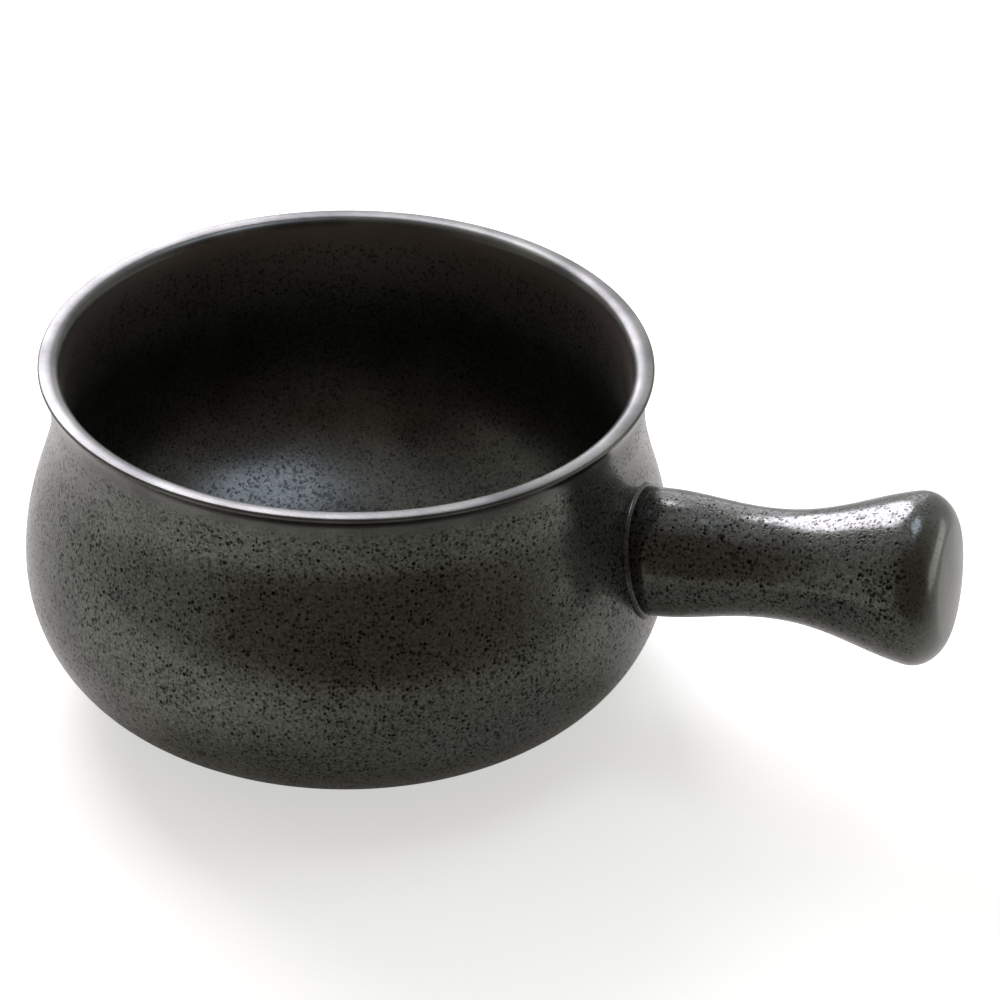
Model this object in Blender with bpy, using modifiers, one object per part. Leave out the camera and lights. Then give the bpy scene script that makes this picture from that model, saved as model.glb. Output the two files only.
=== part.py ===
"""A single-handled stoneware bowl: turned bowl, hollow cast handle and the slip that joins them.

Metres, +Z up. The origin lies on the standing surface, under the middle of the whole object's
box, and the handle points along +X.
"""

import math

import bmesh
import bpy
import numpy as np
from mathutils import Vector

# Bowl: heights are above the standing surface, radii are from the bowl's axis.
BOWL_HEIGHT = 0.0730
LIP_RADIUS = 0.0610
LIP_EDGE_RADIUS = 0.0012
LIP_INNER_RADIUS = 0.0030
LIP_INNER_SWEEP = math.radians(165)
LIP_OUTER_SWEEP = math.radians(-35)
LIP_UNDERCUT = 0.0026
NECK_RADIUS = 0.0585
NECK_WALL = 0.0040
NECK_HEIGHT = 0.0610
NECK_CURVE_UP = 0.0040
NECK_CURVE_DOWN = 0.0095
BELLY_RADIUS = 0.06525
BELLY_HEIGHT = 0.0288
BELLY_CURVE_UP = 0.0155
BELLY_CURVE_DOWN = 0.0138
BASE_CURVE = 0.0178
BELLY_WALL = 0.0058
FLOOR_THICKNESS = 0.0055
FLOOR_CURVE = 0.0330
HOLLOW_HEIGHT = 0.0380
HOLLOW_CURVE_UP = 0.0110
HOLLOW_CURVE_DOWN = 0.0170

# Foot ring under the bowl, and the recess that it leaves in the middle of the base.
FOOT_RADIUS = 0.0395
FOOT_HEIGHT = 0.0018
FOOT_EDGE_RADIUS = 0.0006
FOOT_WIDTH = 0.0052
BASE_RECESS = 0.0024

# Handle: its axis leaves the bowl's widest circle at this height. Lengths are along that axis from
# there, radii are from the axis.
HANDLE_HEIGHT = 0.0401
HANDLE_TILT = math.radians(5.1)
HANDLE_LENGTH = 0.0598
HANDLE_FLARE_OUT = 0.0512
HANDLE_WAIST_OUT = 0.0230
HANDLE_ROOT_RADIUS = 0.0128
HANDLE_WAIST_RADIUS = 0.01085
HANDLE_FLARE_RADIUS = 0.0170
HANDLE_FLARE_SLOPE = 0.20
HANDLE_ROOT_CURVE = 0.0085
HANDLE_WAIST_CURVE = 0.0120
HANDLE_FLARE_CURVE = 0.0095
HANDLE_EDGE_CURVE = 0.0044
HANDLE_FACE_RADIUS = 0.0110
HANDLE_FACE_DROP = 0.00075
HANDLE_FACE_CURVE = 0.0030
HANDLE_WALL = 0.0045

# Vent in the underside of the hollow handle, this far out along it.
VENT_RADIUS = 0.0015
VENT_OUT = 0.0110

# Joining slip: a round bead along the seam between handle and wall.
BEAD_RADIUS = 0.0016

# Room left between pieces that meet.
JOINT_GAP = 0.0003

# Facets: steps round each axis and along each curve of an outline.
BOWL_STEPS = 60
HANDLE_STEPS = 36
VENT_STEPS = 16
LIP_STEPS = 6
EDGE_STEPS = 2
NECK_STEPS = 4
WALL_STEPS = 9
HOLLOW_STEPS = 14
HANDLE_CURVE_STEPS = 6
SEAM_POINTS = 48
BEAD_RESOLUTION = 3
MERGE = 0.00001


def bezier(start, start_handle, end_handle, end, count):
    """Points after start, up to and with end, on one cubic curve."""
    points = []
    for i in range(1, count + 1):
        t = i / count
        u = 1 - t
        weights = (u ** 3, 3 * u * u * t, 3 * u * t * t, t ** 3)
        corners = (start, start_handle, end_handle, end)
        points.append(tuple(sum(w * p[k] for w, p in zip(weights, corners)) for k in (0, 1)))
    return points


def arc(centre, radius, start, end, count):
    """Points on an arc from one angle to another, both ends included."""
    angles = [start + (end - start) * i / count for i in range(count + 1)]
    return [(centre[0] + radius * math.cos(a), centre[1] + radius * math.sin(a)) for a in angles]


def lip_centre():
    """Middle of the lip's outer rounding, as radius and height."""
    return (LIP_RADIUS - LIP_EDGE_RADIUS, BOWL_HEIGHT - LIP_EDGE_RADIUS)


def bowl_outside():
    """The bowl's outer wall as radius and height, from the lip's widest circle to the foot's side."""
    lip = arc(lip_centre(), LIP_EDGE_RADIUS, 0, LIP_OUTER_SWEEP, LIP_STEPS // 2)
    under = (math.sin(LIP_OUTER_SWEEP), -math.cos(LIP_OUTER_SWEEP))
    tucked = (lip[-1][0] + LIP_UNDERCUT * under[0], lip[-1][1] + LIP_UNDERCUT * under[1])
    neck = (NECK_RADIUS, NECK_HEIGHT)
    belly = (BELLY_RADIUS, BELLY_HEIGHT)
    foot = (FOOT_RADIUS, FOOT_HEIGHT)
    wall = list(lip)
    wall += bezier(lip[-1], tucked, (NECK_RADIUS, NECK_HEIGHT + NECK_CURVE_UP), neck, NECK_STEPS)
    wall += bezier(neck, (NECK_RADIUS, NECK_HEIGHT - NECK_CURVE_DOWN),
                   (BELLY_RADIUS, BELLY_HEIGHT + BELLY_CURVE_UP), belly, WALL_STEPS)
    wall += bezier(belly, (BELLY_RADIUS, BELLY_HEIGHT - BELLY_CURVE_DOWN),
                   (FOOT_RADIUS + BASE_CURVE, FOOT_HEIGHT), foot, WALL_STEPS)
    return wall


def bowl_underside():
    """Foot ring and recessed base, from the foot's side to the bowl's axis."""
    side = FOOT_RADIUS - FOOT_EDGE_RADIUS
    inner = FOOT_RADIUS - FOOT_WIDTH + FOOT_EDGE_RADIUS
    outer_edge = arc((side, FOOT_EDGE_RADIUS), FOOT_EDGE_RADIUS, 0, math.radians(-90), EDGE_STEPS)
    inner_edge = arc((inner, FOOT_EDGE_RADIUS), FOOT_EDGE_RADIUS,
                     math.radians(-90), math.radians(-180), EDGE_STEPS)
    return outer_edge + inner_edge + [(FOOT_RADIUS - FOOT_WIDTH, BASE_RECESS), (0, BASE_RECESS)]


def bowl_inside():
    """The bowl's hollow, from the middle of the floor up and over the inner side of the lip."""
    floor = BASE_RECESS + FLOOR_THICKNESS
    widest = (BELLY_RADIUS - BELLY_WALL, HOLLOW_HEIGHT)
    neck = (NECK_RADIUS - NECK_WALL, NECK_HEIGHT)
    crest = lip_centre()[0]
    lip = arc((crest, BOWL_HEIGHT - LIP_INNER_RADIUS), LIP_INNER_RADIUS,
              LIP_INNER_SWEEP, math.radians(90), LIP_STEPS)
    edge = arc(lip_centre(), LIP_EDGE_RADIUS, math.radians(90), 0, LIP_STEPS // 2)
    under = (-math.sin(LIP_INNER_SWEEP), math.cos(LIP_INNER_SWEEP))
    tucked = (lip[0][0] + LIP_UNDERCUT * under[0], lip[0][1] + LIP_UNDERCUT * under[1])
    hollow = [(0, floor)]
    hollow += bezier(hollow[-1], (FLOOR_CURVE, floor), (widest[0], HOLLOW_HEIGHT - HOLLOW_CURVE_DOWN),
                     widest, HOLLOW_STEPS)
    hollow += bezier(widest, (widest[0], HOLLOW_HEIGHT + HOLLOW_CURVE_UP),
                     (neck[0], NECK_HEIGHT - NECK_CURVE_DOWN), neck, WALL_STEPS)
    hollow += bezier(neck, (neck[0], NECK_HEIGHT + NECK_CURVE_UP), tucked, lip[0], NECK_STEPS)
    return hollow + lip[1:] + edge[1:-1]


def handle_side(wall):
    """The handle's side as radius and length from its end to its root, a wall in from the outside."""
    end = (0, HANDLE_LENGTH - wall)
    flare = (HANDLE_FLARE_RADIUS - wall, HANDLE_FLARE_OUT)
    waist = (HANDLE_WAIST_RADIUS - wall, HANDLE_WAIST_OUT)
    root = (HANDLE_ROOT_RADIUS - wall, 0)
    inset = flare[0] / HANDLE_FLARE_RADIUS
    face = (HANDLE_FACE_RADIUS * inset, end[1] - HANDLE_FACE_DROP)
    rim = (face[0] + HANDLE_FACE_CURVE * inset,
           face[1] - 2 * HANDLE_FACE_DROP * HANDLE_FACE_CURVE / HANDLE_FACE_RADIUS)
    edge_curve = HANDLE_EDGE_CURVE * (end[1] - flare[1]) / (HANDLE_LENGTH - HANDLE_FLARE_OUT)
    side = [end]
    side += bezier(end, (face[0] / 3, end[1]), (face[0] * 2 / 3, end[1] - HANDLE_FACE_DROP / 3), face,
                   EDGE_STEPS)
    side += bezier(face, rim, (flare[0] + HANDLE_FLARE_SLOPE * edge_curve, flare[1] + edge_curve), flare,
                   HANDLE_CURVE_STEPS)
    side += bezier(flare, (flare[0] - HANDLE_FLARE_SLOPE * HANDLE_FLARE_CURVE,
                           flare[1] - HANDLE_FLARE_CURVE),
                   (waist[0], waist[1] + HANDLE_WAIST_CURVE), waist, HANDLE_CURVE_STEPS)
    side += bezier(waist, (waist[0], waist[1] - HANDLE_ROOT_CURVE),
                   (root[0], HANDLE_ROOT_CURVE), root, HANDLE_CURVE_STEPS)
    return side


def reach_from_bowl_axis():
    """How far the tilted handle reaches from the bowl's axis, measured level."""
    reaches = [s * math.cos(HANDLE_TILT) + r * math.sin(HANDLE_TILT) for r, s in handle_side(0)]
    return BELLY_RADIUS + max(reaches)


def seam_point(turn):
    """Where the handle's root meets the bowl's outer wall, at one angle round the handle's axis."""
    wall = sorted((z, r) for r, z in bowl_outside())
    heights = [z for z, r in wall]
    radii = [r for z, r in wall]
    along = Vector((math.cos(HANDLE_TILT), 0, math.sin(HANDLE_TILT)))
    up = Vector((-math.sin(HANDLE_TILT), 0, math.cos(HANDLE_TILT)))
    side = Vector((0, 1, 0))
    start = Vector((BELLY_RADIUS, 0, HANDLE_HEIGHT))
    start += HANDLE_ROOT_RADIUS * (math.cos(turn) * up + math.sin(turn) * side)
    inner, outer = -BELLY_RADIUS, HANDLE_LENGTH
    while outer - inner > MERGE / 10:
        middle = (inner + outer) / 2
        point = start + middle * along
        if math.hypot(point.x, point.y) < np.interp(point.z, heights, radii):
            inner = middle
        else:
            outer = middle
    return start + inner * along


def new_collection(name):
    collection = bpy.data.collections.new(name)
    bpy.context.scene.collection.children.link(collection)
    return collection


def new_object(name, data, collection, parent):
    piece = bpy.data.objects.new(name, data)
    collection.objects.link(piece)
    piece.parent = parent
    return piece


def new_empty(name, collection, parent, location):
    empty = new_object(name, None, collection, parent)
    empty.location = location
    return empty


def glaze(name, colour, roughness):
    material = bpy.data.materials.new(name)
    material.use_nodes = True
    shader = material.node_tree.nodes["Principled BSDF"]
    shader.inputs["Base Color"].default_value = (*colour, 1)
    shader.inputs["Roughness"].default_value = roughness
    shader.inputs["Metallic"].default_value = 0
    return material


def turned(name, outline, steps, collection, parent):
    """An outline of radius and height, turned once round its parent's Z."""
    mesh = bpy.data.meshes.new(name)
    edges = [(i, i + 1) for i in range(len(outline) - 1)]
    mesh.from_pydata([(r, 0, z) for r, z in outline], edges, [])
    piece = new_object(name, mesh, collection, parent)
    screw = piece.modifiers.new("turned", "SCREW")
    screw.axis = "Z"
    screw.steps = steps
    screw.render_steps = steps
    screw.use_merge_vertices = True
    screw.merge_threshold = MERGE
    screw.use_smooth_shade = True
    return piece


def cut(piece, cutter):
    cutter.hide_render = True
    cutter.display_type = "WIRE"
    boolean = piece.modifiers.new("cut by " + cutter.name, "BOOLEAN")
    boolean.operation = "DIFFERENCE"
    boolean.object = cutter


def make_bowl(collection, bowl_axis):
    outline = bowl_inside() + bowl_outside() + bowl_underside()
    bowl = turned("bowl_body", outline, BOWL_STEPS, collection, bowl_axis)
    bowl.data.materials.append(glaze("bowl glaze", colour=(0.052, 0.051, 0.045), roughness=0.34))
    return bowl


def make_handle(collection, handle_axis):
    """Hollow, open at the root, and long enough inwards to be cut to the bowl's wall."""
    outline = handle_side(0)
    outline += [(HANDLE_ROOT_RADIUS, -BELLY_RADIUS), (HANDLE_ROOT_RADIUS - HANDLE_WALL, -BELLY_RADIUS)]
    outline += reversed(handle_side(HANDLE_WALL))
    handle = turned("handle", outline, HANDLE_STEPS, collection, handle_axis)
    handle.data.materials.append(glaze("handle glaze", colour=(0.050, 0.048, 0.043), roughness=0.32))
    return handle


def make_bowl_cutter(collection, bowl_axis):
    """The bowl's outside as a full solid, grown by the gap that its neighbours keep."""
    wall = [(r + JOINT_GAP, z) for r, z in bowl_outside()]
    outline = [(0, BOWL_HEIGHT)] + wall + [(0, FOOT_HEIGHT)]
    return turned("cutter_bowl_outside", outline, BOWL_STEPS, collection, bowl_axis)


def make_handle_cutter(collection, handle_axis):
    """The handle's outside as a full solid, grown by the gap that the slip keeps to it."""
    side = [(r + JOINT_GAP, s) for r, s in handle_side(0)[1:]]
    root = [(HANDLE_ROOT_RADIUS + JOINT_GAP, -BELLY_RADIUS), (0, -BELLY_RADIUS)]
    outline = [(0, HANDLE_LENGTH)] + side + root
    return turned("cutter_handle_outside", outline, HANDLE_STEPS, collection, handle_axis)


def make_vent_cutter(collection, handle_axis):
    """A round pin through the lower wall of the handle, into its hollow."""
    mesh = bpy.data.meshes.new("cutter_vent")
    pin = bmesh.new()
    bmesh.ops.create_cone(pin, cap_ends=True, segments=VENT_STEPS, radius1=VENT_RADIUS,
                          radius2=VENT_RADIUS, depth=HANDLE_FLARE_RADIUS)
    pin.to_mesh(mesh)
    pin.free()
    cutter = new_object("cutter_vent", mesh, collection, handle_axis)
    cutter.location = (HANDLE_FLARE_RADIUS / 2, 0, VENT_OUT)
    cutter.rotation_euler = (0, math.radians(90), 0)
    return cutter


def make_joining_slip(collection, bowl_axis):
    """A round bead on the seam, made a mesh so that bowl and handle can be cut from it."""
    curve = bpy.data.curves.new("seam", "CURVE")
    curve.dimensions = "3D"
    curve.bevel_depth = BEAD_RADIUS
    curve.bevel_resolution = BEAD_RESOLUTION
    spline = curve.splines.new("POLY")
    spline.points.add(SEAM_POINTS - 1)
    spline.use_cyclic_u = True
    for i, point in enumerate(spline.points):
        point.co = (*seam_point(2 * math.pi * i / SEAM_POINTS), 1)
    seam = new_object("seam", curve, collection, bowl_axis)
    bpy.context.view_layer.update()
    evaluated = seam.evaluated_get(bpy.context.evaluated_depsgraph_get())
    mesh = bpy.data.meshes.new_from_object(evaluated)
    mesh.name = "joining_slip"
    bead = bmesh.new()
    bead.from_mesh(mesh)
    bmesh.ops.remove_doubles(bead, verts=bead.verts, dist=MERGE)
    bead.to_mesh(mesh)
    bead.free()
    mesh.shade_smooth()
    bpy.data.objects.remove(seam)
    slip = new_object("joining_slip", mesh, collection, bowl_axis)
    mesh.materials.clear()
    mesh.materials.append(glaze("slip glaze", colour=(0.060, 0.059, 0.054), roughness=0.32))
    return slip


def main():
    for old in list(bpy.data.objects):
        bpy.data.objects.remove(old)

    parts = new_collection("handled bowl")
    cutters = new_collection("handled bowl cutters")

    middle_to_bowl = (reach_from_bowl_axis() - BELLY_RADIUS) / 2
    bowl_axis = new_empty("bowl_axis", parts, None, (-middle_to_bowl, 0, 0))
    handle_axis = new_empty("handle_axis", parts, bowl_axis, (BELLY_RADIUS, 0, HANDLE_HEIGHT))
    handle_axis.rotation_euler = (0, math.radians(90) - HANDLE_TILT, 0)

    bowl_cutter = make_bowl_cutter(cutters, bowl_axis)
    handle_cutter = make_handle_cutter(cutters, handle_axis)
    vent_cutter = make_vent_cutter(cutters, handle_axis)

    make_bowl(parts, bowl_axis)
    handle = make_handle(parts, handle_axis)
    cut(handle, bowl_cutter)
    cut(handle, vent_cutter)
    slip = make_joining_slip(parts, bowl_axis)
    cut(slip, bowl_cutter)
    cut(slip, handle_cutter)


main()
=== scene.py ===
"""Looks of the single-handled stoneware bowl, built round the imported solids. Metres, +Z up."""

import math

import bmesh
import bpy
import numpy as np
from mathutils import Matrix, Vector
from mathutils.geometry import interpolate_bezier


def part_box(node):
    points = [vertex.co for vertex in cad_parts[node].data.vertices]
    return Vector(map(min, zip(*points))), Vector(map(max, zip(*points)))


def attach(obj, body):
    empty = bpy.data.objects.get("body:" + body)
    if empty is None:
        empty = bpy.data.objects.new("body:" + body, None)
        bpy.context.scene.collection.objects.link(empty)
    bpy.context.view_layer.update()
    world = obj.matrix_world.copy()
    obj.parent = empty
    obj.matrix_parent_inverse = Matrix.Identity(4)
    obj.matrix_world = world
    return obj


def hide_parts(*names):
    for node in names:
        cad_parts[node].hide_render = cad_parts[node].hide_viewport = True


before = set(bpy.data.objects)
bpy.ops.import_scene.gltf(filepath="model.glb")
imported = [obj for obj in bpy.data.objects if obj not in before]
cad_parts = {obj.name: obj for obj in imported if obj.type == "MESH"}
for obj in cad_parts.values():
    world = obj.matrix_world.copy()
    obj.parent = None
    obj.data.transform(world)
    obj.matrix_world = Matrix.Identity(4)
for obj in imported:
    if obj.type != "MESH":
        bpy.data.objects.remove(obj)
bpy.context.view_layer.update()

# The bowl's place and main sizes come from its solid.
bowl_low, bowl_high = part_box("bowl_body")
BOWL_X = (bowl_low.x + bowl_high.x) / 2
BOWL_HEIGHT = bowl_high.z
BELLY_RADIUS = (bowl_high.x - bowl_low.x) / 2

# Bowl: heights are above the standing surface, radii are from the bowl's axis.
LIP_RADIUS = 0.0610
LIP_CREST = 0.0597
LIP_CROWN_RADIUS = 0.0080
LIP_CROWN_LEAN = math.radians(9.5)
LIP_INNER_RADIUS = 0.0021
LIP_INNER_SWEEP = math.radians(168)
LIP_EDGE_RADIUS = 0.00045
LIP_UNDER_HEIGHT = 0.07245
LIP_UNDER_SWEEP = math.radians(-50)
LIP_UNDERCUT = 0.0024
NECK_RADIUS = 0.0588
NECK_WALL = 0.0030
NECK_HEIGHT = 0.0610
NECK_CURVE_UP = 0.0040
NECK_CURVE_DOWN = 0.0095
INNER_NECK_HEIGHT = 0.0600
INNER_NECK_CURVE_UP = 0.0060
INNER_NECK_CURVE_DOWN = 0.0095
BELLY_HEIGHT = 0.0288
BELLY_CURVE_UP = 0.0155
BELLY_CURVE_DOWN = 0.0138
BASE_CURVE = 0.0169
BELLY_WALL = 0.0058
FLOOR_HEIGHT = 0.0079
FLOOR_CURVE = 0.0330
HOLLOW_HEIGHT = 0.0380
HOLLOW_CURVE_UP = 0.0110
HOLLOW_CURVE_DOWN = 0.0170
FOOT_RADIUS = 0.0395
FOOT_HEIGHT = 0.0018
FOOT_EDGE_RADIUS = 0.0006
FOOT_WIDTH = 0.0052
BASE_RECESS = 0.0024

# A place no deeper than this under the outer wall counts as on it.
OUTSIDE_DEPTH = BELLY_WALL / 4

# The handle's weight on the soft rim: how far it sinks the rim and draws out the neck, from which height
# up, and the power by which that dies away round the bowl.
RIM_SAG = 0.0013
RIM_SAG_FROM = 0.0520
NECK_PULL = 0.0007
NECK_PULL_FROM = 0.0450
SAG_POWER = 3

# Handle: lengths are along its axis from the bowl's widest circle, radii are from that axis.
HANDLE_HEIGHT = 0.0401
HANDLE_TILT = math.radians(5.1)
HANDLE_LENGTH = 0.0598
HANDLE_FLARE_OUT = 0.0512
HANDLE_WAIST_OUT = 0.0230
HANDLE_ROOT_RADIUS = 0.0128
HANDLE_WAIST_RADIUS = 0.01085
HANDLE_FLARE_RADIUS = 0.0170
HANDLE_FLARE_SLOPE = 0.20
HANDLE_ROOT_CURVE = 0.0085
HANDLE_WAIST_CURVE = 0.0120
HANDLE_FLARE_CURVE = 0.0095
HANDLE_EDGE_CURVE = 0.0044
HANDLE_FACE_RADIUS = 0.0110
HANDLE_FACE_DROP = 0.00075
HANDLE_FACE_CURVE = 0.0030
HANDLE_WALL = 0.0045
VENT_RADIUS = 0.0015
VENT_OUT = 0.0110
VENT_EASE = 0.0005
VENT_DEPTH = 1.5 * HANDLE_WALL
BEAD_RADIUS = 0.0009

# How much of each feature of the glaze shows, and how much painted shade and painted reflection, as
# {height: share} on the bowl and {length: share} on the handle. INSIDE_SPECKS thins the specks inside the
# bowl, and BEAD_SPECKS holds all round the bead.
BOWL_SPECKS = {0.0660: 1, 0.0695: 0.12}
INSIDE_SPECKS = 0.65
HANDLE_SPECKS = {HANDLE_FLARE_OUT: 1, HANDLE_LENGTH - 0.002: 0.25}
BEAD_SPECKS = 0.5
SATIN_OUTSIDE = {0.0715: 0, 0.0723: 0.5}
SATIN_INSIDE = {0.024: 0.35, 0.031: 1, 0.0705: 1, 0.0722: 0.5}
# Painted shade: a dark line under the lip's outer edge, where the lip shades the neck.
SHADE_UNDER_LIP = {0.0699: 0, 0.0708: 1, 0.0717: 1, 0.0721: 0}
# Painted shade: a darker band on the inner wall where the hollow is widest.
SHADE_IN_HOLLOW = {0.024: 0, 0.031: 0.5, 0.044: 0.5, 0.056: 0.1}
# Painted reflection: a lighter band on the inner wall under the lip.
REFLECTION_UNDER_LIP = {0.056: 0, 0.069: 1, 0.071: 1, 0.0718: 0}

# Glaze: colours, finish, and the size of each pattern. SPECK_SIZE, SPECK_EDGE and CROWD_SHARE are shares
# of the specks' spacing, and NOISE_RANGE is the part of a noise's values that is used.
GLAZE_DARK = "#41433e"
GLAZE_LIGHT = "#7a7d75"
# Painted reflection: the lighter colour laid on the inner wall under the lip.
PAINTED_REFLECTION_GREY = "#7f776e"
# Painted shade: the dark brown laid under the lip and in the hollow.
PAINTED_SHADE_BROWN = "#170e0a"
SPECK_COLOUR = "#12110f"
CLAY_COLOUR = "#9a8871"
GLAZE_ROUGHNESS = 0.2
SPECK_ROUGHNESS = 0.3
SATIN_ROUGHNESS = 0.20
CLAY_ROUGHNESS = 0.9
GLAZE_METAL = 0.65
SPECK_METAL = 0.95
SPECK_SPACING = 0.00076
SPECK_SIZE = 0.59
SPECK_EDGE = (-0.05, 0.07)
SPECK_PALEST = 0.5
SPECK_RAGGED = 0.0005
SPECK_PULL = 0.00036
CROWD_WIDTH = 0.010
CROWD_SHARE = 0.10
DRIFT_WIDTH = 0.015
MOTTLE_WIDTH = 0.0006
MOTTLE_SHARE = 0.75
WAVE_WIDTH = 0.005
SKIN_DEPTH = 0.00002
NOISE_RANGE = (0.3, 0.7)
WIPED_WAVE = 0.0008
WIPED_FROM = 0.0011
WIPED_TO = 0.0009

# Steps round each turned piece and along each curve of its outline.
BOWL_STEPS = 288
HANDLE_STEPS = 144
CURVE_STEPS = 24
ROUND_STEPS = 10
SEAM_STEPS = 192
VENT_STEPS = 48
BEAD_STEPS = 8
BOARD_STEPS = 128
MERGE = 0.000005

# Camera, matched to the photograph's outline: it looks at AIM from this far, turned and raised.
VIEW_AIM = Vector((0.00340, -0.00373, 0.04789))
VIEW_TURN = math.radians(17.40)
VIEW_RISE = math.radians(31.87)
VIEW_ROLL = math.radians(0.748)
VIEW_DISTANCE = 0.85
VIEW_LENS_MM = 154.26
SENSOR_MM = 36

# Studio: each lamp is a softbox that faces the bowl from this turn and rise. Turn 0 is in front of
# the bowl (-Y), 90 on the handle's side (+X).
LAMPS = {
    "key softbox": {"turn": -139, "rise": 35, "distance": 1.5, "width": 0.92, "height": 0.92,
                    "radiance": 9.8, "colour": "#f4ecff"},
    "back softbox": {"turn": -172, "rise": 22, "distance": 1.5, "width": 0.55, "height": 0.9,
                     "radiance": 1.3, "colour": "#f6f2ff"},
    "top softbox": {"turn": 142, "rise": 72, "distance": 1.3, "width": 0.54, "height": 0.54,
                    "radiance": 3.0, "colour": "#d4dfff"},
    "ceiling panel": {"turn": 0, "rise": 88, "distance": 1.4, "width": 1.0, "height": 1.0,
                      "radiance": 0.16, "colour": "#ffffff"},
    "right strip box": {"turn": 113, "rise": 1, "distance": 0.4, "width": 0.32, "height": 0.11,
                        "radiance": 1.2, "colour": "#ffffff"},
    "left strip box": {"turn": -42, "rise": 6, "distance": 1.3, "width": 0.8, "height": 0.4,
                       "radiance": 0.12, "colour": "#ffffff"},
}
ROOM_SEEN = "#ffffff"
ROOM_LIGHT = "#c4c4c1"
ROOM_DARK = "#5f534a"
ROOM_DARK_TURN = 30
ROOM_DARK_RISE = 28
ROOM_DARK_REACH = 34
ROOM_LIGHT_REACH = 105
BOARD_COLOUR = "#e8e8dc"
BOARD_ROUGHNESS = 0.9
BOARD_GLOW = 0.06
BOARD_GLOW_SEEN = 0.58
BOARD_RADIUS = 0.50
BOARD_MIDDLE = Vector((-0.11, 0.06, 0))
BOARD_FADE_FROM = 0.17
BOARD_FADE_TO = 0.34


def curve(start, start_handle, end_handle, end):
    """Points after start, up to and with end, on one cubic curve of radius and height."""
    knots = [Vector((*point, 0)) for point in (start, start_handle, end_handle, end)]
    return [(p.x, p.y) for p in interpolate_bezier(*knots, CURVE_STEPS + 1)[1:]]


def arc(centre, radius, start, end):
    """Points on an arc from one angle to another, both ends included."""
    angles = [start + (end - start) * i / ROUND_STEPS for i in range(ROUND_STEPS + 1)]
    return [(centre[0] + radius * math.cos(a), centre[1] + radius * math.sin(a)) for a in angles]


def bowl_lip():
    """The lip from its inner edge to its widest circle: a shallow crown between two rounded edges."""
    crown = (LIP_CREST, BOWL_HEIGHT - LIP_CROWN_RADIUS)
    edge_out = LIP_RADIUS - LIP_EDGE_RADIUS - LIP_CREST
    outer_lean = math.asin(edge_out / (LIP_CROWN_RADIUS - LIP_EDGE_RADIUS))
    start, end = math.pi / 2 + LIP_CROWN_LEAN, math.pi / 2 - outer_lean
    inner = arc(crown, LIP_CROWN_RADIUS - LIP_INNER_RADIUS, start, end)[0]
    outer = arc(crown, LIP_CROWN_RADIUS - LIP_EDGE_RADIUS, start, end)[-1]
    return (arc(inner, LIP_INNER_RADIUS, LIP_INNER_SWEEP, start)
            + arc(crown, LIP_CROWN_RADIUS, start, end)[1:-1] + arc(outer, LIP_EDGE_RADIUS, end, 0))


def bowl_outside():
    """The bowl's outer wall, from the lip's lower edge to the foot's side."""
    lip = arc((LIP_RADIUS - LIP_EDGE_RADIUS, LIP_UNDER_HEIGHT), LIP_EDGE_RADIUS, 0, LIP_UNDER_SWEEP)
    under = (math.sin(LIP_UNDER_SWEEP), -math.cos(LIP_UNDER_SWEEP))
    tucked = (lip[-1][0] + LIP_UNDERCUT * under[0], lip[-1][1] + LIP_UNDERCUT * under[1])
    neck = (NECK_RADIUS, NECK_HEIGHT)
    belly = (BELLY_RADIUS, BELLY_HEIGHT)
    foot = (FOOT_RADIUS, FOOT_HEIGHT)
    wall = list(lip)
    wall += curve(lip[-1], tucked, (NECK_RADIUS, NECK_HEIGHT + NECK_CURVE_UP), neck)
    wall += curve(neck, (NECK_RADIUS, NECK_HEIGHT - NECK_CURVE_DOWN),
                  (BELLY_RADIUS, BELLY_HEIGHT + BELLY_CURVE_UP), belly)
    wall += curve(belly, (BELLY_RADIUS, BELLY_HEIGHT - BELLY_CURVE_DOWN),
                  (FOOT_RADIUS + BASE_CURVE, FOOT_HEIGHT), foot)
    return wall


def bowl_underside():
    """Foot ring and recessed base, from the foot's side to the bowl's axis."""
    outer = (FOOT_RADIUS - FOOT_EDGE_RADIUS, FOOT_EDGE_RADIUS)
    inner = (FOOT_RADIUS - FOOT_WIDTH + FOOT_EDGE_RADIUS, FOOT_EDGE_RADIUS)
    edges = arc(outer, FOOT_EDGE_RADIUS, 0, -math.pi / 2)
    edges += arc(inner, FOOT_EDGE_RADIUS, -math.pi / 2, -math.pi)
    return edges + [(FOOT_RADIUS - FOOT_WIDTH, BASE_RECESS), (0, BASE_RECESS)]


def bowl_inside():
    """The bowl's hollow, from the middle of the floor up to the lip's inner edge."""
    widest = (BELLY_RADIUS - BELLY_WALL, HOLLOW_HEIGHT)
    neck = (NECK_RADIUS - NECK_WALL, INNER_NECK_HEIGHT)
    lip = bowl_lip()[0]
    tucked = (lip[0] - LIP_UNDERCUT * math.sin(LIP_INNER_SWEEP),
              lip[1] + LIP_UNDERCUT * math.cos(LIP_INNER_SWEEP))
    hollow = [(0, FLOOR_HEIGHT)]
    hollow += curve(hollow[-1], (FLOOR_CURVE, FLOOR_HEIGHT), (widest[0], HOLLOW_HEIGHT - HOLLOW_CURVE_DOWN),
                    widest)
    hollow += curve(widest, (widest[0], HOLLOW_HEIGHT + HOLLOW_CURVE_UP),
                    (neck[0], INNER_NECK_HEIGHT - INNER_NECK_CURVE_DOWN), neck)
    return hollow + curve(neck, (neck[0], INNER_NECK_HEIGHT + INNER_NECK_CURVE_UP), tucked, lip)


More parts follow.
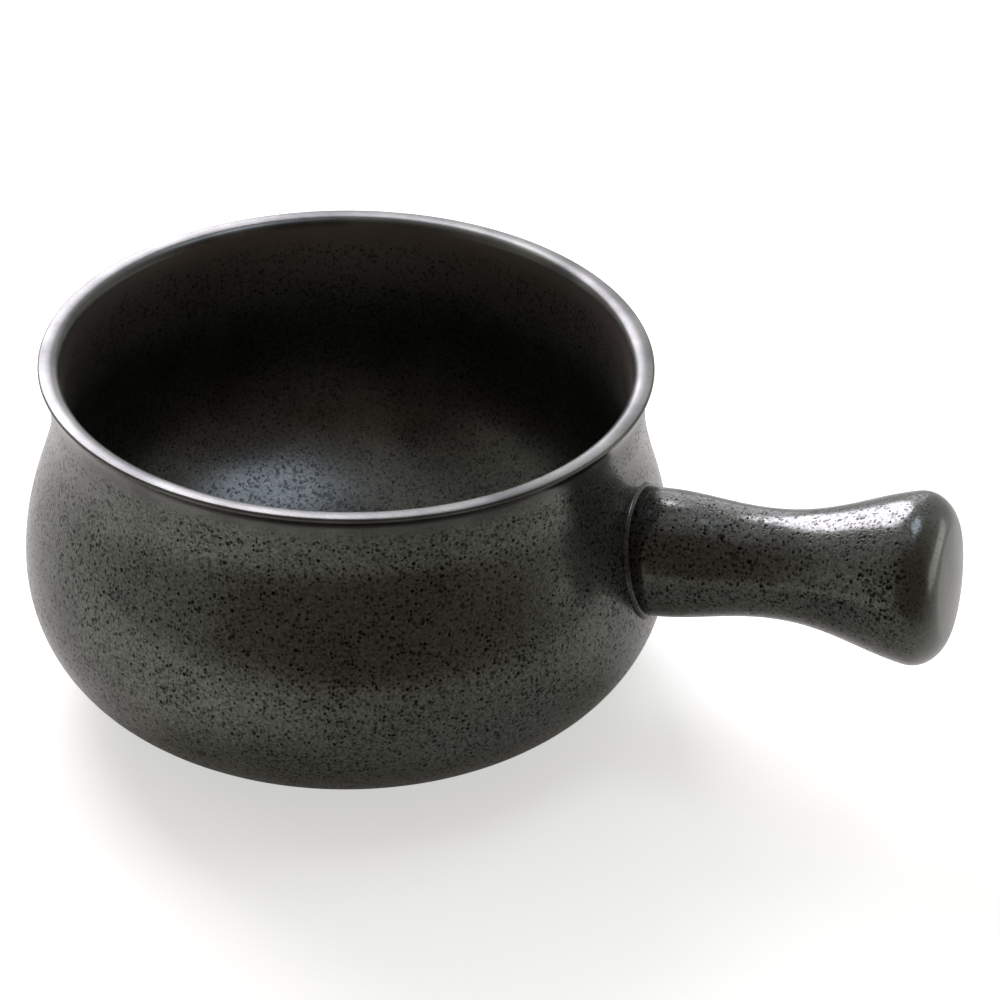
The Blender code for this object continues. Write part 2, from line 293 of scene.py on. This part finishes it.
def handle_side(wall):
    """The handle's side as radius and length from its end to its root, a wall in from the outside."""
    end = (0, HANDLE_LENGTH - wall)
    flare = (HANDLE_FLARE_RADIUS - wall, HANDLE_FLARE_OUT)
    waist = (HANDLE_WAIST_RADIUS - wall, HANDLE_WAIST_OUT)
    root = (HANDLE_ROOT_RADIUS - wall, 0)
    inset = flare[0] / HANDLE_FLARE_RADIUS
    face = (HANDLE_FACE_RADIUS * inset, end[1] - HANDLE_FACE_DROP)
    rim = (face[0] + HANDLE_FACE_CURVE * inset,
           face[1] - 2 * HANDLE_FACE_DROP * HANDLE_FACE_CURVE / HANDLE_FACE_RADIUS)
    edge_curve = HANDLE_EDGE_CURVE * (end[1] - flare[1]) / (HANDLE_LENGTH - HANDLE_FLARE_OUT)
    side = [end]
    side += curve(end, (face[0] / 3, end[1]), (face[0] * 2 / 3, end[1] - HANDLE_FACE_DROP / 3), face)
    side += curve(face, rim, (flare[0] + HANDLE_FLARE_SLOPE * edge_curve, flare[1] + edge_curve), flare)
    side += curve(flare, (flare[0] - HANDLE_FLARE_SLOPE * HANDLE_FLARE_CURVE,
                          flare[1] - HANDLE_FLARE_CURVE),
                  (waist[0], waist[1] + HANDLE_WAIST_CURVE), waist)
    side += curve(waist, (waist[0], waist[1] - HANDLE_ROOT_CURVE), (root[0], HANDLE_ROOT_CURVE), root)
    return side


HANDLE_AXIS = Vector((math.cos(HANDLE_TILT), 0, math.sin(HANDLE_TILT)))
HANDLE_PLACE = (Matrix.Translation((BOWL_X + BELLY_RADIUS, 0, HANDLE_HEIGHT))
                @ Matrix.Rotation(math.pi / 2 - HANDLE_TILT, 4, "Y"))
WALL = sorted((z, r) for r, z in bowl_outside())
WALL_HEIGHTS = [z for z, r in WALL]
WALL_RADII = [r for z, r in WALL]


def slide_to_wall(point):
    """The place where a point, moved along the handle's axis, meets the bowl's outer wall."""
    inner, outer = -BELLY_RADIUS, BELLY_RADIUS
    while outer - inner > MERGE:
        middle = (inner + outer) / 2
        place = point + middle * HANDLE_AXIS
        reach = math.hypot(place.x - BOWL_X, place.y)
        if reach < np.interp(place.z, WALL_HEIGHTS, WALL_RADII):
            inner = middle
        else:
            outer = middle
    return point + inner * HANDLE_AXIS


def spun(outline, steps):
    """An outline of radius and height, spun once round Z into a closed bmesh."""
    shape = bmesh.new()
    verts = [shape.verts.new((r, 0, z)) for r, z in outline]
    edges = [shape.edges.new(pair) for pair in zip(verts, verts[1:])]
    bmesh.ops.spin(shape, geom=verts + edges, cent=(0, 0, 0), axis=(0, 0, 1), angle=2 * math.pi,
                   steps=steps, use_merge=True)
    bmesh.ops.remove_doubles(shape, verts=shape.verts, dist=MERGE)
    bmesh.ops.recalc_face_normals(shape, faces=shape.faces)
    return shape


def baked(thing):
    """The bmesh of an object as its bevel or its modifiers leave it. The object itself goes."""
    bpy.context.view_layer.update()
    mesh = bpy.data.meshes.new_from_object(thing.evaluated_get(bpy.context.evaluated_depsgraph_get()))
    bpy.data.objects.remove(thing)
    shape = bmesh.new()
    shape.from_mesh(mesh)
    bmesh.ops.remove_doubles(shape, verts=shape.verts, dist=MERGE)
    bmesh.ops.recalc_face_normals(shape, faces=shape.faces)
    return shape


def linked(name, data):
    """A new object in the scene that shows this data."""
    thing = bpy.data.objects.new(name, data)
    bpy.context.scene.collection.objects.link(thing)
    return thing


def meshed(name, shape):
    """A mesh from a bmesh, which is freed."""
    mesh = bpy.data.meshes.new(name)
    shape.to_mesh(mesh)
    shape.free()
    return mesh


def store(piece, name, share):
    """Stores a share of the glaze's pattern at each vertex of a piece."""
    shares = piece.data.attributes.new(name, "FLOAT", "POINT")
    for vert, value in zip(piece.data.vertices, shares.data):
        value.value = share(vert.co)


def finished(name, shape, material):
    """A piece from a bmesh, smooth, at the origin with its place in its mesh."""
    mesh = meshed(name, shape)
    mesh.shade_smooth()
    mesh.materials.append(material)
    return linked(name, mesh)


def is_outside(place):
    """Whether a place on the bowl lies on its outer wall."""
    reach = math.hypot(place.x - BOWL_X, place.y)
    return reach > np.interp(place.z, WALL_HEIGHTS, WALL_RADII) - OUTSIDE_DEPTH


def sagged(place):
    """A place on the round bowl, moved as the handle's weight moved it before the firing: beside the
    handle the rim sinks and the neck is drawn out."""
    turn = math.atan2(place.y, place.x - BOWL_X)
    share = ((1 + math.cos(turn)) / 2) ** SAG_POWER
    up = min(max((place.z - RIM_SAG_FROM) / (BOWL_HEIGHT - RIM_SAG_FROM), 0), 1)
    mid = min(max((place.z - NECK_PULL_FROM) / (BOWL_HEIGHT - NECK_PULL_FROM), 0), 1)
    out = NECK_PULL * share * math.sin(math.pi * mid) ** 2
    down = RIM_SAG * share * up * up * (3 - 2 * up)
    return place + Vector((out * math.cos(turn), out * math.sin(turn), -down))


def share_at(spot, shares):
    """The share at a spot, from a table of spots and shares."""
    return np.interp(spot, list(shares), list(shares.values()))


def bowl_specks(place):
    """Full on the outer wall, fewer inside, and next to none on the lip."""
    return share_at(place.z, BOWL_SPECKS) * (1 if is_outside(place) else INSIDE_SPECKS)


def bowl_satin(place):
    """Most on the inner wall, some on the floor and over the lip, none on the outer wall."""
    return share_at(place.z, SATIN_OUTSIDE if is_outside(place) else SATIN_INSIDE)


def bowl_painted_shade(place):
    """Painted shade in dark brown: a line under the lip's outer edge, where the lip shades the neck, and a
    broad band in the hollow where the inside is widest.
    """
    return share_at(place.z, SHADE_UNDER_LIP if is_outside(place) else SHADE_IN_HOLLOW)


def bowl_painted_reflection(place):
    """Painted reflection: a lighter band on the inner wall just below the lip."""
    return 0 if is_outside(place) else share_at(place.z, REFLECTION_UNDER_LIP)


def handle_specks(place):
    """Full along the grip, and few on the end face."""
    return share_at((HANDLE_PLACE.inverted() @ place).z, HANDLE_SPECKS)


def make_bowl(material):
    outline = bowl_inside() + bowl_lip()[1:] + bowl_outside() + bowl_underside()
    shape = spun(outline, BOWL_STEPS)
    bmesh.ops.translate(shape, verts=shape.verts, vec=(BOWL_X, 0, 0))
    piece = finished("bowl_shell", shape, material)
    store(piece, "specks", bowl_specks)
    store(piece, "satin", bowl_satin)
    store(piece, "painted_shade", bowl_painted_shade)
    store(piece, "painted_reflection", bowl_painted_reflection)
    for vert in piece.data.vertices:
        vert.co = sagged(vert.co)
    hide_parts("bowl_body")
    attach(piece, "root")


def vented(shape):
    """The handle with its vent drilled through the underside. The vent's outer edge is eased."""
    radii, outs = zip(*reversed(handle_side(0)))
    skin = np.interp(VENT_OUT, outs, radii)
    wide = VENT_RADIUS + VENT_EASE
    ease = arc((wide, skin - VENT_EASE), VENT_EASE, math.pi, math.pi / 2)
    deep = skin - VENT_DEPTH
    pin = spun([(0, deep), (VENT_RADIUS, deep)] + ease + [(wide, skin + VENT_EASE), (0, skin + VENT_EASE)],
               VENT_STEPS)
    down = Matrix.Translation((0, 0, VENT_OUT)) @ Matrix.Rotation(math.pi / 2, 4, "Y")
    bmesh.ops.transform(pin, matrix=down, verts=pin.verts)
    drill = linked("drill", meshed("drill", pin))
    blank = linked("blank", meshed("blank", shape))
    cut = blank.modifiers.new("vent", "BOOLEAN")
    cut.operation = "DIFFERENCE"
    cut.object = drill
    drilled = baked(blank)
    bpy.data.objects.remove(drill)
    return drilled


def make_handle(material):
    outline = handle_side(0) + list(reversed(handle_side(HANDLE_WALL)))
    shape = vented(spun(outline, HANDLE_STEPS))
    root = [v for v in shape.verts if abs(v.co.z) < MERGE]
    bmesh.ops.transform(shape, matrix=HANDLE_PLACE, verts=shape.verts)
    for vert in root:
        vert.co = slide_to_wall(vert.co)
    piece = finished("handle_grip", shape, material)
    store(piece, "specks", handle_specks)
    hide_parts("handle")
    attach(piece, "root")


def make_bead(material):
    seam = bpy.data.curves.new("seam", "CURVE")
    seam.dimensions = "3D"
    seam.bevel_depth = BEAD_RADIUS
    seam.bevel_resolution = BEAD_STEPS
    spline = seam.splines.new("POLY")
    spline.points.add(SEAM_STEPS - 1)
    spline.use_cyclic_u = True
    for i, point in enumerate(spline.points):
        turn = 2 * math.pi * i / SEAM_STEPS
        edge = Vector((HANDLE_ROOT_RADIUS * math.cos(turn), HANDLE_ROOT_RADIUS * math.sin(turn), 0))
        point.co = (*slide_to_wall(HANDLE_PLACE @ edge), 1)
    piece = finished("joining_bead", baked(linked("seam", seam)), material)
    store(piece, "specks", lambda place: BEAD_SPECKS)
    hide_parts("joining_slip")
    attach(piece, "root")


def make_camera():
    data = bpy.data.cameras.new("camera")
    data.sensor_width = SENSOR_MM
    data.lens = VIEW_LENS_MM
    camera = linked("camera", data)
    back = Vector((math.sin(VIEW_TURN) * math.cos(VIEW_RISE),
                   -math.cos(VIEW_TURN) * math.cos(VIEW_RISE), math.sin(VIEW_RISE)))
    upright = back.to_track_quat("Z", "Y").to_matrix().to_4x4()
    roll = Matrix.Rotation(VIEW_ROLL, 4, "Z")
    camera.matrix_world = Matrix.Translation(VIEW_AIM + VIEW_DISTANCE * back) @ upright @ roll
    bpy.context.scene.camera = camera


def linear(hex_colour):
    """An sRGB hex colour as the linear RGBA that nodes and lamps take."""
    channels = [int(hex_colour[i:i + 2], 16) / 255 for i in (1, 3, 5)]
    return tuple(c / 12.92 if c <= 0.04045 else ((c + 0.055) / 1.055) ** 2.4 for c in channels) + (1,)


def add_node(tree, kind, inputs=None, **settings):
    """Adds a node with its settings, and fills its inputs with values or other nodes' outputs."""
    node = tree.nodes.new(kind)
    for name, value in settings.items():
        setattr(node, name, value)
    for name, value in (inputs or {}).items():
        if isinstance(value, bpy.types.NodeSocket):
            tree.links.new(value, node.inputs[name])
        else:
            node.inputs[name].default_value = value
    return node


def towards(turn, rise):
    """Unit vector at a turn and rise in degrees."""
    turn, rise = math.radians(turn), math.radians(rise)
    return Vector((math.sin(turn) * math.cos(rise), -math.cos(turn) * math.cos(rise), math.sin(rise)))


def gunmetal_glaze():
    """Iron and manganese glaze, fired glossy over stoneware. The metals that come out at its surface
    give a dark grey mirror with hardly any colour of its own, sown with small dull black specks."""
    material = bpy.data.materials.new("gunmetal glaze")
    material.use_nodes = True
    tree = material.node_tree
    shader = tree.nodes["Principled BSDF"]
    place = add_node(tree, "ShaderNodeTexCoord").outputs["Object"]
    share, satin, painted_shade, painted_reflection = [add_node(tree, "ShaderNodeAttribute", attribute_name=name).outputs["Fac"]
                                for name in ("specks", "satin", "painted_shade", "painted_reflection")]

    # Specks: grains of every size up to their spacing, with uneven edges, in crowds some 10 mm across.
    ragged = add_node(tree, "ShaderNodeTexNoise", {"Vector": place, "Scale": 1 / SPECK_RAGGED,
                                                   "Detail": 0.0})
    pulled = add_node(tree, "ShaderNodeVectorMath",
                      {0: ragged.outputs["Color"], 1: (SPECK_PULL,) * 3, 2: place},
                      operation="MULTIPLY_ADD").outputs["Vector"]
    grains = add_node(tree, "ShaderNodeTexVoronoi", {"Vector": pulled, "Scale": 1 / SPECK_SPACING})
    chance = add_node(tree, "ShaderNodeSeparateColor", {"Color": grains.outputs["Color"]})
    crowd = add_node(tree, "ShaderNodeTexNoise", {"Vector": place, "Scale": 1 / CROWD_WIDTH, "Detail": 2.0})
    dense = add_node(tree, "ShaderNodeMapRange",
                     {"Value": crowd.outputs["Fac"], "From Min": NOISE_RANGE[0], "From Max": NOISE_RANGE[1],
                      "To Min": -CROWD_SHARE, "To Max": CROWD_SHARE})
    size = add_node(tree, "ShaderNodeMath",
                    {0: chance.outputs["Red"], 1: SPECK_SIZE, 2: dense.outputs["Result"]},
                    operation="MULTIPLY_ADD")
    within = add_node(tree, "ShaderNodeMath", {0: size.outputs[0], 1: grains.outputs["Distance"]},
                      operation="SUBTRACT")
    dark = add_node(tree, "ShaderNodeMapRange",
                    {"Value": within.outputs[0], "From Min": SPECK_EDGE[0], "From Max": SPECK_EDGE[1]},
                    interpolation_type="SMOOTHSTEP")
    depth = add_node(tree, "ShaderNodeMapRange", {"Value": chance.outputs["Green"],
                                                  "To Min": SPECK_PALEST})
    full = add_node(tree, "ShaderNodeMath", {0: dark.outputs["Result"], 1: depth.outputs["Result"]},
                    operation="MULTIPLY")
    speck = add_node(tree, "ShaderNodeMath", {0: full.outputs[0], 1: share},
                     operation="MULTIPLY").outputs[0]

    # Between the specks the glaze drifts in tone, over 15 mm and again from grain to grain.
    drift = add_node(tree, "ShaderNodeTexNoise", {"Vector": place, "Scale": 1 / DRIFT_WIDTH, "Detail": 3.0})
    fine = add_node(tree, "ShaderNodeTexNoise", {"Vector": place, "Scale": 1 / MOTTLE_WIDTH, "Detail": 1.0})
    mottle = add_node(tree, "ShaderNodeMapRange", {"Value": share, "To Max": MOTTLE_SHARE})
    blend = add_node(tree, "ShaderNodeMix", {0: mottle.outputs["Result"], 2: drift.outputs["Fac"],
                                             3: fine.outputs["Fac"]})
    bright = add_node(tree, "ShaderNodeMapRange", {"Value": blend.outputs[0], "From Min": NOISE_RANGE[0],
                                                   "From Max": NOISE_RANGE[1]})
    tone = add_node(tree, "ShaderNodeMix", {0: bright.outputs["Result"], 6: linear(GLAZE_DARK),
                                            7: linear(GLAZE_LIGHT)}, data_type="RGBA")
    # Painted reflection: a lighter colour on the inner wall below the lip.
    reflected = add_node(tree, "ShaderNodeMix", {0: painted_reflection, 6: tone.outputs[2], 7: linear(PAINTED_REFLECTION_GREY)},
                      data_type="RGBA")
    pitted = add_node(tree, "ShaderNodeMix", {0: speck, 6: reflected.outputs[2], 7: linear(SPECK_COLOUR)},
                      data_type="RGBA")
    # Painted shade: dark brown under the lip's outer edge and in the hollow.
    shaded = add_node(tree, "ShaderNodeMix", {0: painted_shade, 6: pitted.outputs[2], 7: linear(PAINTED_SHADE_BROWN)},
                     data_type="RGBA")
    rough = add_node(tree, "ShaderNodeMapRange", {"Value": speck, "To Min": GLAZE_ROUGHNESS,
                                                  "To Max": SPECK_ROUGHNESS})
    dull = add_node(tree, "ShaderNodeMath", {0: satin, 1: SATIN_ROUGHNESS, 2: rough.outputs["Result"]},
                    operation="MULTIPLY_ADD")
    shine = add_node(tree, "ShaderNodeMapRange", {"Value": speck, "To Min": GLAZE_METAL,
                                                  "To Max": SPECK_METAL})

    # Specks sink 0.02 mm into the skin, which waves by as much over some 5 mm.
    wave = add_node(tree, "ShaderNodeTexNoise", {"Vector": place, "Scale": 1 / WAVE_WIDTH, "Detail": 1.0})
    skin = add_node(tree, "ShaderNodeMath", {0: speck, 1: -1.0, 2: wave.outputs["Fac"]},
                    operation="MULTIPLY_ADD")
    bump = add_node(tree, "ShaderNodeBump", {"Height": skin.outputs[0], "Distance": SKIN_DEPTH,
                                             "Strength": 1.0})

    # The glaze is wiped off the foot's standing face: dry buff clay shows there, to an uneven line.
    height = add_node(tree, "ShaderNodeSeparateXYZ", {"Vector": place}).outputs["Z"]
    edge = add_node(tree, "ShaderNodeMath", {0: drift.outputs["Fac"], 1: WIPED_WAVE, 2: height},
                    operation="MULTIPLY_ADD")
    clay = add_node(tree, "ShaderNodeMapRange", {"Value": edge.outputs[0], "From Min": WIPED_FROM,
                                                 "From Max": WIPED_TO}).outputs["Result"]
    colour = add_node(tree, "ShaderNodeMix", {0: clay, 6: shaded.outputs[2], 7: linear(CLAY_COLOUR)},
                      data_type="RGBA")
    roughness = add_node(tree, "ShaderNodeMapRange", {"Value": clay, "To Min": dull.outputs[0],
                                                      "To Max": CLAY_ROUGHNESS})
    metal = add_node(tree, "ShaderNodeMapRange", {"Value": clay, "To Min": shine.outputs["Result"],
                                                  "To Max": 0.0})

    tree.links.new(colour.outputs[2], shader.inputs["Base Color"])
    tree.links.new(roughness.outputs["Result"], shader.inputs["Roughness"])
    tree.links.new(metal.outputs["Result"], shader.inputs["Metallic"])
    tree.links.new(bump.outputs["Normal"], shader.inputs["Normal"])
    return material


def white_board():
    """Matt white board, faintly lit from below: takes the soft shadow, shows in the glaze, and fades
    out towards its edge."""
    material = bpy.data.materials.new("white board")
    material.use_nodes = True
    tree = material.node_tree
    shader = tree.nodes["Principled BSDF"]
    shader.inputs["Base Color"].default_value = linear(BOARD_COLOUR)
    shader.inputs["Roughness"].default_value = BOARD_ROUGHNESS
    shader.inputs["Specular IOR Level"].default_value = 0.0
    place = add_node(tree, "ShaderNodeTexCoord").outputs["Object"]
    away = add_node(tree, "ShaderNodeVectorMath", {0: place, 1: BOARD_MIDDLE}, operation="DISTANCE")
    solid = add_node(tree, "ShaderNodeMapRange",
                     {"Value": away.outputs["Value"], "From Min": BOARD_FADE_TO,
                      "From Max": BOARD_FADE_FROM}, interpolation_type="SMOOTHSTEP")
    seen = add_node(tree, "ShaderNodeLightPath").outputs["Is Camera Ray"]
    glow = add_node(tree, "ShaderNodeMapRange", {"Value": seen, "To Min": BOARD_GLOW,
                                                 "To Max": BOARD_GLOW_SEEN})
    tree.links.new(solid.outputs["Result"], shader.inputs["Alpha"])
    tree.links.new(glow.outputs["Result"], shader.inputs["Emission Strength"])
    return material


def make_floor():
    shape = bmesh.new()
    bmesh.ops.create_circle(shape, cap_ends=True, radius=BOARD_RADIUS, segments=BOARD_STEPS)
    floor = finished("floor", shape, white_board())


def make_lamp(name, turn, rise, distance, width, height, radiance, colour):
    data = bpy.data.lights.new(name, "AREA")
    data.shape = "RECTANGLE"
    data.size = width
    data.size_y = height
    data.energy = radiance * math.pi * width * height
    data.color = linear(colour)[:3]
    lamp = linked(name, data)
    out = towards(turn, rise)
    lamp.matrix_world = (Matrix.Translation(VIEW_AIM + distance * out)
                         @ out.to_track_quat("Z", "Y").to_matrix().to_4x4())
    lamp.visible_camera = False


def make_room():
    """A white room that is dark and brownish behind the camera; to the camera itself it is white."""
    world = bpy.data.worlds.new("studio")
    bpy.context.scene.world = world
    world.use_nodes = True
    tree = world.node_tree
    sky = tree.nodes["Background"]
    way = add_node(tree, "ShaderNodeTexCoord").outputs["Generated"]
    facing = add_node(tree, "ShaderNodeVectorMath", {0: way, 1: towards(ROOM_DARK_TURN, ROOM_DARK_RISE)},
                      operation="DOT_PRODUCT")
    dark = add_node(tree, "ShaderNodeMapRange",
                    {"Value": facing.outputs["Value"],
                     "From Min": math.cos(math.radians(ROOM_LIGHT_REACH)),
                     "From Max": math.cos(math.radians(ROOM_DARK_REACH))}, interpolation_type="SMOOTHSTEP")
    room = add_node(tree, "ShaderNodeMix", {0: dark.outputs["Result"], 6: linear(ROOM_LIGHT),
                                            7: linear(ROOM_DARK)}, data_type="RGBA")
    seen = add_node(tree, "ShaderNodeLightPath").outputs["Is Camera Ray"]
    shown = add_node(tree, "ShaderNodeMix", {0: seen, 6: room.outputs[2], 7: linear(ROOM_SEEN)},
                     data_type="RGBA")
    tree.links.new(shown.outputs[2], sky.inputs["Color"])


glaze = gunmetal_glaze()
make_bowl(glaze)
make_handle(glaze)
make_bead(glaze)
make_camera()
make_floor()
make_room()
for name, lamp in LAMPS.items():
    make_lamp(name, **lamp)
bpy.context.scene.view_settings.view_transform = "Standard"
